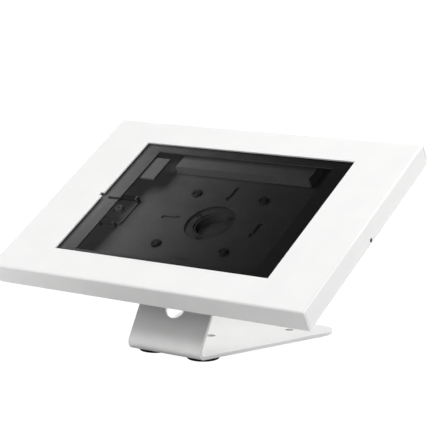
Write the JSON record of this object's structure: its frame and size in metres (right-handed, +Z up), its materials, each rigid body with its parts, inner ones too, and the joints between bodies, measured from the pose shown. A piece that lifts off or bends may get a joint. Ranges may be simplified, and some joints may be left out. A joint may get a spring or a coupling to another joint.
{
  "type": "touchscreen kiosk",
  "caption": "Countertop tablet kiosk: lockable white steel enclosure with an open screen window, tilted back on a bent plate stand with a swivel hub, cable hole and rubber feet.",
  "frame": {"origin": "middle of the whole kiosk's footprint, on the tabletop", "axes": "+X to the user's right along the screen's long side, -Y towards the user, +Z up; the screen leans back, its upper edge towards +Y"},
  "size_m": [0.3424, 0.2102, 0.1881],
  "materials": {
    "white_powder_coat": "white satin powder coat with a fine even orange peel",
    "black_powder_coat": "black matt powder coat, fine texture",
    "black_steel": "blackened, slightly oiled steel",
    "grey_steel": "dull grey plated steel",
    "zinc_steel": "bright zinc plate",
    "dark_foam": "charcoal closed-cell foam, cut faces",
    "friction_pad": "black acetal washer, satin",
    "black_rubber": "black moulded rubber, matt"
  },
  "bodies": {
    "stand": {"stand_bracket": "white_powder_coat", "foot_front_left": "black_rubber", "foot_front_right": "black_rubber", "foot_rear_left": "black_rubber", "foot_rear_right": "black_rubber", "swivel_hub": "black_steel", "hub_screw_1": "black_steel", "hub_screw_2": "black_steel", "hub_screw_3": "black_steel", "friction_washer_upper": "friction_pad", "friction_washer_lower": "friction_pad"},
    "enclosure": {"back_tray": "black_powder_coat", "turntable_plate": "grey_steel", "spacer_plate": "black_powder_coat", "vesa_bolt_1": "grey_steel", "vesa_bolt_2": "grey_steel", "vesa_bolt_3": "grey_steel", "vesa_bolt_4": "grey_steel", "vesa_nut_1": "black_steel", "vesa_nut_2": "black_steel", "vesa_nut_3": "black_steel", "vesa_nut_4": "black_steel", "foam_bar_top": "dark_foam", "foam_bar_bottom": "dark_foam", "foam_block_right": "dark_foam", "pivot_pin": "black_steel", "spring_anchor": "black_powder_coat", "latch_guide": "black_powder_coat", "latch_shoulder_screw": "grey_steel", "latch_spring": "black_steel"},
    "latch": {"latch_slide": "black_powder_coat"},
    "cover": {"front_cover": "white_powder_coat", "mask_frame": "black_powder_coat", "mask_pad": "dark_foam", "seal_strip_top": "dark_foam", "seal_strip_bottom": "dark_foam", "seal_strip_left": "dark_foam", "seal_strip_right": "dark_foam", "mask_stud_1": "zinc_steel", "mask_stud_2": "zinc_steel", "mask_stud_3": "zinc_steel", "mask_stud_4": "zinc_steel", "mask_nut_1": "zinc_steel", "mask_nut_2": "zinc_steel", "mask_nut_3": "zinc_steel", "mask_nut_4": "zinc_steel"}
  },
  "joints": [
    {"name": "screen_swivel", "type": "hinge", "parent": "stand", "child": "enclosure", "pos_m": [0, 0.00828, 0.10705], "axis": [0, -0.5, 0.866], "range_deg": [-90, 90]},
    {"name": "cover_tip", "type": "hinge", "parent": "enclosure", "child": "cover", "pos_m": [0.17045, 0.00303, 0.11614], "axis": [0, 0.866, 0.5], "range_deg": [0, 12]},
    {"name": "latch_shoot", "type": "slide", "parent": "enclosure", "child": "latch", "axis": [-1, 0, 0], "range_m": [0, 0.004], "stiffness_N_per_m": 300, "deforming": ["latch_spring"]}
  ]
}
